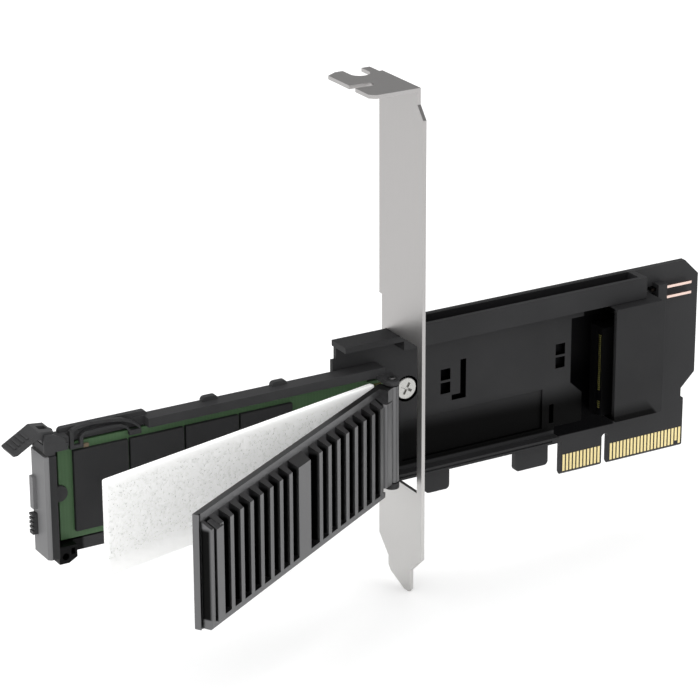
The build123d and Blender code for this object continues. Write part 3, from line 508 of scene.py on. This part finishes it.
def silicone(name):
    """White silicone with fine grey ceramic grains in it."""
    s = Shader(name)
    grains = s.cells(1250.0)
    speck = s.steps(grains, (0.10, 1.0), (0.30, 0.0))
    mottle = s.steps(s.noise(1500.0, 4.0, 0.7), (0.40, 0.0), (0.62, 1.0))
    z = s.axis("Z")
    edge = s.larger(s.below(z, PALE_LOW, soft=4.0), s.above(z, PALE_HIGH, soft=1.5))
    pale = s.mix(mottle, rgb(224, 225, 223), rgb(250, 250, 249))
    colour = s.mix(speck * 0.6, pale, rgb(176, 178, 176))
    colour = s.mix(edge * 0.75, colour, rgb(251, 251, 250))
    # The glow is painted light: it evens out the lid's shade on the pad.
    return s.surface(Base_Color=colour, Roughness=0.85, Specular_IOR_Level=0.2,
                     Emission_Color=colour, Emission_Strength=0.22,
                     Normal=s.bump(grains, 0.06 * MM, 0.3))


def ceramic(name):
    """Fired ceramic, brown with a fine mottling."""
    s = Shader(name)
    mottle = s.noise(3000.0, 3.0, 0.6)
    return s.surface(Base_Color=s.mix(mottle, rgb(92, 80, 64), rgb(122, 108, 88)),
                     Roughness=mottle * 0.1 + 0.4, Specular_IOR_Level=0.3)


pad_silicone = silicone("pad_silicone")
ceramic_tan = ceramic("ceramic_tan")
print("pad and capacitors:", pad_silicone.name, ceramic_tan.name)

# %% [markdown]
# ## Finishes on the CAD parts
# Each CAD node keeps its exact shape and gets one of the finishes above. Parts of the same
# plastic or metal share one material, so a change to it changes them all.

# %% Give each CAD node its finish
FINISH = {
    "bracket": bracket_steel, "bracket_screw": screw_steel, "circuit_board": board_mask,
    "edge_contacts_front": contact_gold, "edge_contacts_back": contact_gold,
    "m2_socket_contacts": socket_gold, "drive_contacts": painted_shade_gold,
    "led_header_pins": pin_gold, "bay_frame": frame_black, "socket_cover": cap_black,
    "tray": tray_black, "retaining_clip": tray_black, "retaining_stud": tray_black,
    "eject_lever": lever_black, "tray_bezel": bezel_grey, "release_button": lever_black,
    "m2_socket": socket_black, "led_header": header_black, "regulator": chip_black,
    "power_inductor": chip_black, "drive_flash_chips": chip_black,
    "drive_controller": chip_black, "ceramic_capacitors": ceramic_tan,
    "drive_small_parts": ceramic_tan, "drive_board": board_green,
    "heatsink_lid": lid_aluminium, "hinge_pin": pin_steel, "lever_pin": tray_black,
    "thermal_pad": pad_silicone,
}
for node, finish in FINISH.items():
    mesh = frame["nodes"][node].data
    mesh.materials.clear()
    mesh.materials.append(finish)
print("CAD nodes with a finish:", len(FINISH), "of", len(frame["nodes"]))

# %% [markdown]
# ## Softened edges
# No moulded, cast or stamped part has knife edges: each has a radius of about a tenth of a
# millimetre, which catches a thin line of light. The CAD mesh is loose triangles, so a copy is
# merged, its flat faces are joined again, and a bevel is put on every sharp edge. Parts with
# fine ridges, such as the lid and the lever, keep their CAD shape: a bevel folds over there.

# %% A finished copy of a CAD part with soft edges
BODY_OF = {node: body for body, nodes in frame["record"]["behaviour"]["bodies"].items()
           for node in nodes}
MERGE = 0.001 * MM
FLAT = radians(0.5)
SHARP = radians(40)


def plain_mesh(piece):
    """Turns a piece with modifiers into a plain mesh."""
    bpy.context.view_layer.update()
    ready = piece.evaluated_get(bpy.context.evaluated_depsgraph_get())
    mesh = bpy.data.meshes.new_from_object(ready)
    piece.modifiers.clear()
    piece.data = mesh
    return piece


def new_piece(name, mesh):
    """Puts a mesh into the scene as an object at the origin."""
    piece = bpy.data.objects.new(name, mesh)
    bpy.context.collection.objects.link(piece)
    return piece


def merged_copy(node):
    """A bmesh of a CAD part with its triangles joined into flat faces."""
    shape = bmesh.new()
    shape.from_mesh(frame["nodes"][node].data)
    bmesh.ops.remove_doubles(shape, verts=shape.verts, dist=MERGE)
    bmesh.ops.dissolve_limit(shape, angle_limit=FLAT, verts=shape.verts,
                             edges=shape.edges)
    return shape


def softened(node, radius):
    """Replaces a CAD part by a copy of it with rounded edges. radius is in millimetres."""
    shape = merged_copy(node)
    mesh = bpy.data.meshes.new(node + "_soft")
    shape.to_mesh(mesh)
    shape.free()
    piece = new_piece(node + "_soft", mesh)
    edge = piece.modifiers.new("edge", "BEVEL")
    edge.width = radius * MM
    edge.segments = 2
    edge.limit_method = "ANGLE"
    edge.angle_limit = SHARP
    edge.harden_normals = True
    plain_mesh(piece)
    piece.data.materials.clear()
    piece.data.materials.append(FINISH[node])
    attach(piece, BODY_OF[node])
    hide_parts(node)
    return piece


# %% Soften what shows
# The radius of each part's edges, in millimetres.
EDGES = {
    "bracket": 0.10, "bay_frame": 0.05, "socket_cover": 0.15, "tray": 0.10,
    "drive_flash_chips": 0.08, "drive_controller": 0.08, "retaining_clip": 0.10,
    "power_inductor": 0.20, "regulator": 0.08,
}
for node, radius in EDGES.items():
    done = softened(node, radius)
    print(done.name, len(done.data.polygons), "faces")

# %% [markdown]
# ## Small things that repeat
# Contacts, solder joints and the tinned ends of capacitors are the same small shape over and
# over. A Geometry Nodes tree puts one shape on each point of a mesh, so only the points have to
# be worked out here. They come from the boxes of the CAD parts.


# %% A tree that puts a shape on every point
class Tree:
    """A geometry node tree with named inputs."""

    def __init__(self, name):
        self.group = bpy.data.node_groups.new(name, "GeometryNodeTree")
        self.group.interface.new_socket("Geometry", in_out="OUTPUT",
                                        socket_type="NodeSocketGeometry")
        self.geometry = self.named("Geometry", "NodeSocketGeometry")
        self.start = self.group.nodes.new("NodeGroupInput")
        self.end = self.group.nodes.new("NodeGroupOutput")

    def named(self, name, kind):
        """Gives the tree one more named input."""
        return self.group.interface.new_socket(name, in_out="INPUT", socket_type=kind)

    def add(self, kind, settings=None, values=None, output=0):
        """Adds a node, sets or links its inputs, and gives one of its outputs."""
        node = self.group.nodes.new(kind)
        for key, value in (settings or {}).items():
            setattr(node, key, value)
        for key, value in (values or {}).items():
            if isinstance(value, bpy.types.NodeSocket):
                self.group.links.new(value, node.inputs[key])
            else:
                node.inputs[key].default_value = value
        return node.outputs[output]

    def finish(self, geometry, material):
        """Ends the tree in real geometry with its material."""
        real = self.add("GeometryNodeRealizeInstances", values={"Geometry": geometry})
        done = self.add("GeometryNodeSetMaterial", values={"Geometry": real,
                                                           "Material": material})
        self.group.links.new(done, self.end.inputs["Geometry"])


def block(tree, size):
    """A block, for contacts and tinned ends."""
    return tree.add("GeometryNodeMeshCube", values={"Size": size})


def dome(tree, size):
    """A flattened ball, for solder joints."""
    ball = tree.add("GeometryNodeMeshUVSphere", values={"Segments": 16, "Rings": 8,
                                                        "Radius": 0.5})
    return tree.add("GeometryNodeTransform", values={"Geometry": ball, "Scale": size})


def spread_tree(name, material, shape):
    """One shape of a given size on each point, stretched by the point's own factor."""
    tree = Tree(name)
    size = tree.named("Size", "NodeSocketVector")
    start = tree.start.outputs
    stretch = tree.add("GeometryNodeInputNamedAttribute", {"data_type": "FLOAT_VECTOR"},
                       {"Name": "stretch"})
    spread = tree.add("GeometryNodeInstanceOnPoints", values={
        "Points": start["Geometry"], "Instance": shape(tree, start["Size"]), "Scale": stretch})
    tree.finish(spread, material)
    return tree.group, size.identifier


def repeated(name, tree, places, size, body, stretch=None):
    """A piece made by a tree: places and size are in metres."""
    mesh = bpy.data.meshes.new(name)
    mesh.from_pydata(places, [], [])
    scale = mesh.attributes.new("stretch", "FLOAT_VECTOR", "POINT")
    for i, value in enumerate(stretch or [EVEN] * len(places)):
        scale.data[i].vector = value
    piece = new_piece(name, mesh)
    grow = piece.modifiers.new("grow", "NODES")
    grow.node_group, identifier = tree
    grow[identifier] = size
    plain_mesh(piece)
    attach(piece, body)
    print(name, len(places), "places,", len(piece.data.polygons), "faces")
    return piece


def islands(node):
    """The boxes of the separate pieces in a CAD part, as (lowest, highest) corners."""
    shape = merged_copy(node)
    left = set(shape.verts)
    boxes = []
    while left:
        first = left.pop()
        group = [first]
        for vert in group:
            for edge in vert.link_edges:
                other = edge.other_vert(vert)
                if other in left:
                    left.remove(other)
                    group.append(other)
        low = Vector([min(v.co[i] for v in group) for i in range(3)])
        high = Vector([max(v.co[i] for v in group) for i in range(3)])
        boxes.append((low, high))
    shape.free()
    return sorted(boxes, key=lambda box: (round(box[0].x, 6), round(box[0].z, 6)))


# %% [markdown]
# ## Edge contacts
# The contacts of a card edge are thin etched copper with gold on it. Etching takes a little off
# the width that the CAD part gives them, so that bare board shows between. The second one from
# the inner end is shorter on real cards: it touches last, and tells the host that the card is
# fully in.

# %% Gold contacts on both sides
CONTACT_SHARE = 0.90
SHORT_CONTACT = 0.80
gold_tree = spread_tree("contact_tree", contact_gold, block)
for node in ("edge_contacts_front", "edge_contacts_back"):
    boxes = islands(node)
    low, high = boxes[0]
    size = Vector(high) - Vector(low)
    places = [(low + high) / 2 for low, high in boxes]
    stretch = [EVEN] * len(boxes)
    short = len(boxes) - 2
    if node == "edge_contacts_front":
        stretch[short] = (1.0, 1.0, SHORT_CONTACT)
        places[short] = places[short] + Vector((0.0, 0.0, size.z * (1 - SHORT_CONTACT) / 2))
    piece = repeated(node + "_gold", gold_tree, places,
                     (size.x * CONTACT_SHARE, size.y, size.z), "card", stretch)
    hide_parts(node)

# %% [markdown]
# ## Tinned ends and solder joints
# A ceramic capacitor has a tinned cap on each end, and the header's pins are soldered on the
# other side of the board, where the solder wets each pin in a small dome.

# %% Tinned ends of the capacitors
TIN_SHARE = 0.26
TIN_OVER = 0.03 * MM
tin = plated("tin", rgb(176, 176, 178), rgb(206, 206, 208), 0.34, EVEN, FINE_LINES)
tin_tree = spread_tree("tin_tree", tin, block)


def tinned(node, body, longest):
    """Two ends on each capacitor of a part. longest is 0 for X and 2 for Z."""
    ends = []
    for low, high in islands(node):
        size = high - low
        for place in (low[longest] + size[longest] * TIN_SHARE / 2,
                      high[longest] - size[longest] * TIN_SHARE / 2):
            centre = (low + high) / 2
            centre[longest] = place
            ends.append(centre)
    low, high = islands(node)[0]
    size = (high - low) + Vector((TIN_OVER, TIN_OVER, TIN_OVER))
    size[longest] = (high - low)[longest] * TIN_SHARE
    repeated(node + "_ends", tin_tree, ends, tuple(size), body)


tinned("ceramic_capacitors", "card", 2)

# %% Solder joints of the header's pins on the back
SOLDER_WIDE = 1.5 * MM
SOLDER_HIGH = 0.9 * MM
back_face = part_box("circuit_board")[1][1]
joints = []
for low, high in islands("led_header_pins"):
    middle_z = (low.z + high.z) / 2
    joints.append(Vector((low.x + (high.z - low.z) / 2, back_face, middle_z)))
solder_tree = spread_tree("solder_tree", tin, dome)
repeated("solder_joints", solder_tree, joints, (SOLDER_WIDE, SOLDER_HIGH, SOLDER_WIDE), "card")

# %% [markdown]
# ## Thermal pad
# The pad is a soft strip of filled silicone that is die-cut from a sheet: its faces are a little
# uneven and its cut edges are rounded over. The CAD part gives its real box once it is turned
# back about the hinge, so the soft strip is modelled in that flat place and turned again.

# %% A soft strip with rounded edges
PAD_ANGLE = radians(-JOINTS["pad_hinge"]["range_deg"][0])
PAD_ROUND = 0.35 * MM
PAD_WAVE = 0.05 * MM
PAD_CELLS = (150, 8, 44)
# The pad's faces rise and fall by two waves, in radians per metre along X and Z.
WAVE_ALONG = (310.0, 170.0)
WAVE_ACROSS = (-90.0, 420.0)
TINY = 1e-6


def turned(point, angle):
    """A point turned about the lid's hinge line."""
    return LID_HINGE + Matrix.Rotation(angle, 3, "Z") @ (point - LID_HINGE)


flat = [turned(v.co, -PAD_ANGLE) for v in frame["nodes"]["thermal_pad"].data.vertices]
pad_low = Vector([min(v[i] for v in flat) for i in range(3)])
pad_high = Vector([max(v[i] for v in flat) for i in range(3)])
print("flat pad in mm:", [round(v / MM, 2) for v in pad_high - pad_low])


def runs_along(edge, axis):
    """True for an edge that runs along one axis only."""
    run = edge.verts[0].co - edge.verts[1].co
    return all(abs(run[other]) < TINY for other in range(3) if other != axis)


def soft_strip(name, low, high, cells, edge, wave):
    """A closed box of small faces, rounded at its edges and slightly uneven."""
    size = high - low
    shape = bmesh.new()
    bmesh.ops.create_cube(shape, size=1.0)
    for axis in range(3):
        along = [e for e in shape.edges if runs_along(e, axis)]
        bmesh.ops.subdivide_edges(shape, edges=along, cuts=cells[axis] - 1, use_grid_fill=True)
    centre = (low + high) / 2
    half = size / 2
    for vert in shape.verts:
        place = Vector([vert.co[i] * size[i] for i in range(3)])
        core = Vector([max(-half[i] + edge, min(half[i] - edge, place[i])) for i in range(3)])
        rim = place - core
        if rim.length > edge:
            rim = rim.normalized() * edge
        ripple = (sin(place.x * WAVE_ALONG[0] + place.z * WAVE_ALONG[1])
                  * cos(place.x * WAVE_ACROSS[0] + place.z * WAVE_ACROSS[1]))
        inner = 1.0 - min(1.0, rim.xz.length / edge)
        side = -1.0 if place.y < 0 else 1.0
        lift = side * wave * (ripple - 1.0) * 0.5 * inner
        vert.co = centre + core + rim + Vector((0.0, lift, 0.0))
    mesh = bpy.data.meshes.new(name)
    shape.to_mesh(mesh)
    shape.free()
    return mesh


strip = soft_strip("pad_strip", pad_low, pad_high, PAD_CELLS, PAD_ROUND, PAD_WAVE)
for vert in strip.vertices:
    vert.co = turned(vert.co, PAD_ANGLE)
for face in strip.polygons:
    face.use_smooth = True
strip.materials.append(pad_silicone)
pad = new_piece("thermal_pad_soft", strip)
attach(pad, BODY_OF["thermal_pad"])
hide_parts("thermal_pad")
print("pad faces:", len(strip.polygons))

# %% [markdown]
# ## Broad end rib of the lid
# The lid's fins end in one broad rib beside the outer bar. It is a prism: a block with a
# sloping upper end, as the fins have. It is built in the lid's own directions and rides on it.

# %% The end rib
RIB_FROM = 75.6 * MM
RIB_TO = 78.3 * MM
RIB_HIGH = 2.4 * MM
RIB_LOW_Z = 12.6 * MM
RIB_ROOT_Z = 34.6 * MM
RIB_FACE_Z = 33.2 * MM
RIB_EDGE = 0.12 * MM
lid_along = Vector((-cos(LID_ANGLE), -sin(LID_ANGLE), 0.0))


def end_rib():
    """A prism between two places along the lid: its end slopes from the root to the face."""
    shape = bmesh.new()
    ends = []
    for along in (RIB_FROM, RIB_TO):
        base = LID_HINGE + lid_along * along
        profile = ((lid_face - RIB_HIGH, RIB_LOW_Z), (lid_face, RIB_LOW_Z),
                   (lid_face, RIB_FACE_Z), (lid_face - RIB_HIGH, RIB_ROOT_Z))
        ends.append([shape.verts.new(base + lid_out * out + Vector((0.0, 0.0, z)))
                     for out, z in profile])
    shape.faces.new(ends[0])
    shape.faces.new(reversed(ends[1]))
    for i in range(4):
        j = (i + 1) % 4
        shape.faces.new((ends[0][j], ends[0][i], ends[1][i], ends[1][j]))
    bmesh.ops.recalc_face_normals(shape, faces=shape.faces)
    mesh = bpy.data.meshes.new("lid_end_rib")
    shape.to_mesh(mesh)
    shape.free()
    mesh.materials.append(lid_aluminium)
    rib = new_piece("lid_end_rib", mesh)
    edge = rib.modifiers.new("edge", "BEVEL")
    edge.width = RIB_EDGE
    edge.segments = 2
    plain_mesh(rib)
    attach(rib, BODY_OF["heatsink_lid"])
    return rib


print("end rib faces:", len(end_rib().data.polygons))

# %% [markdown]
# ## Floor and light
# A product picture has a white surround and large soft lamps. For reflections the white ends
# a little above the horizon, so that faces that look up stay darker than faces that look out.

# %% Floor
FLOOR_HALF = 6.0
FLOOR_GLOW = 0.12
WHITE = (1.0, 1.0, 1.0, 1.0)


def floor_plate(half, z):
    """A square plate at a height, in metres."""
    mesh = bpy.data.meshes.new("floor")
    corners = [(-half, -half, z), (half, -half, z), (half, half, z), (-half, half, z)]
    mesh.from_pydata(corners, [], [(0, 1, 2, 3)])
    return new_piece("floor", mesh)


def floor_paint(name):
    """White paint, lifted a little where the camera sees it so that it joins the background."""
    s = Shader(name)
    colour = s.mix(s.noise(3.0), rgb(250, 250, 250), rgb(253, 253, 253))
    paint = s.add("ShaderNodeBsdfDiffuse", {}, {"Color": colour})
    glow = s.add("ShaderNodeEmission", {}, {"Color": WHITE, "Strength": FLOOR_GLOW})
    lifted = s.add("ShaderNodeAddShader", {}, {0: paint, 1: glow})
    seen = s.add("ShaderNodeLightPath", {}, {}, "Is Camera Ray")
    both = s.add("ShaderNodeMixShader", {}, {0: seen, 1: paint, 2: lifted})
    s.links.new(both.socket, s.out.inputs["Surface"])
    return s.material


floor = floor_plate(FLOOR_HALF, cad_box[0][2])
floor.data.materials.append(floor_paint("floor_paint"))
print("floor at z =", round(cad_box[0][2] / MM, 2), "mm")

# %% World: white for the camera, a white band for reflections, soft light for the rest
SOFT_LIGHT = 1.0
UPPER_LEVEL = 0.22
# The heights, from 0 at the horizon to 1 overhead, where the white starts and stops to fade.
BAND_END = (0.02, 0.30)


def studio_world(light, upper):
    """A world whose reflections go from white at the horizon down to upper overhead."""
    world = bpy.data.worlds.new("studio")
    bpy.context.scene.world = world
    world.use_nodes = True
    tree = world.node_tree
    tree.nodes.clear()

    def add(kind, values=None):
        node = tree.nodes.new(kind)
        for key, value in (values or {}).items():
            node.inputs[key].default_value = value
        return node

    rays = add("ShaderNodeLightPath")
    place = add("ShaderNodeTexCoord")
    split = add("ShaderNodeSeparateXYZ")
    height = add("ShaderNodeMapRange", {"From Min": BAND_END[0], "From Max": BAND_END[1],
                                        "To Min": 1.0, "To Max": upper})
    white = add("ShaderNodeBackground", {"Color": WHITE, "Strength": 1.0})
    mirror = add("ShaderNodeBackground", {"Color": WHITE})
    soft = add("ShaderNodeBackground", {"Color": WHITE, "Strength": light})
    first = add("ShaderNodeMixShader")
    second = add("ShaderNodeMixShader")
    end = add("ShaderNodeOutputWorld")
    wires = (
        (place.outputs["Generated"], split.inputs[0]), (split.outputs["Z"], height.inputs[0]),
        (height.outputs[0], mirror.inputs["Strength"]),
        (rays.outputs["Is Glossy Ray"], first.inputs[0]), (soft.outputs[0], first.inputs[1]),
        (mirror.outputs[0], first.inputs[2]), (rays.outputs["Is Camera Ray"], second.inputs[0]),
        (first.outputs[0], second.inputs[1]), (white.outputs[0], second.inputs[2]),
        (second.outputs[0], end.inputs["Surface"]),
    )
    for start, stop in wires:
        tree.links.new(start, stop)


studio_world(SOFT_LIGHT, UPPER_LEVEL)

# %% Three soft lamps
# Each lamp's name, place in metres, side in metres and power in watts.
LAMPS = (
    ("key_left", (-0.75, -0.55, 0.55), 0.6, 1.2),
    ("fill_right", (0.55, -0.75, 0.40), 0.7, 0.6),
    ("top", (0.0, 0.15, 0.90), 0.7, 1.5),
)
LAMPS_AT = (-0.05, -0.01, 0.04)


def lamp(name, place, size, power, target=LAMPS_AT):
    """A square soft lamp that looks at a point."""
    light = bpy.data.lights.new(name, "AREA")
    light.shape = "SQUARE"
    light.size = size
    light.energy = power
    holder = bpy.data.objects.new(name, light)
    holder.location = place
    holder.rotation_euler = (Vector(target) - Vector(place)).to_track_quat("-Z", "Y").to_euler()
    bpy.context.collection.objects.link(holder)


for settings in LAMPS:
    lamp(*settings)
print("lamps:", len(LAMPS))

# %% [markdown]
# ## Camera
# The viewing angle was solved from known points of the card standard: the camera looks from
# the left front, about 21 degrees above the card, through a long lens.

# %% Camera at the photograph's angle
AZIMUTH = radians(-30.2)
ELEVATION = radians(21.09)
ROLL = radians(-0.23)
CAMERA_AT = Vector((-387.8, -546.8, 286.6)) * MM
LENS = 156.46
SENSOR = 36.0
NEAREST = 0.01

back = Vector((sin(AZIMUTH) * cos(ELEVATION), -cos(AZIMUTH) * cos(ELEVATION), sin(ELEVATION)))
side = Vector((cos(AZIMUTH), sin(AZIMUTH), 0.0))
upright = back.cross(side)
right = side * cos(ROLL) + upright * sin(ROLL)
up = upright * cos(ROLL) - side * sin(ROLL)
lens = bpy.data.cameras.new("camera")
lens.lens = LENS
lens.sensor_width = SENSOR
lens.clip_start = NEAREST
camera = bpy.data.objects.new("camera", lens)
turn = Matrix((right, up, back)).transposed()
camera.matrix_world = Matrix.Translation(CAMERA_AT) @ turn.to_4x4()
bpy.context.collection.objects.link(camera)
bpy.context.scene.camera = camera
bpy.context.scene.view_settings.view_transform = "Standard"
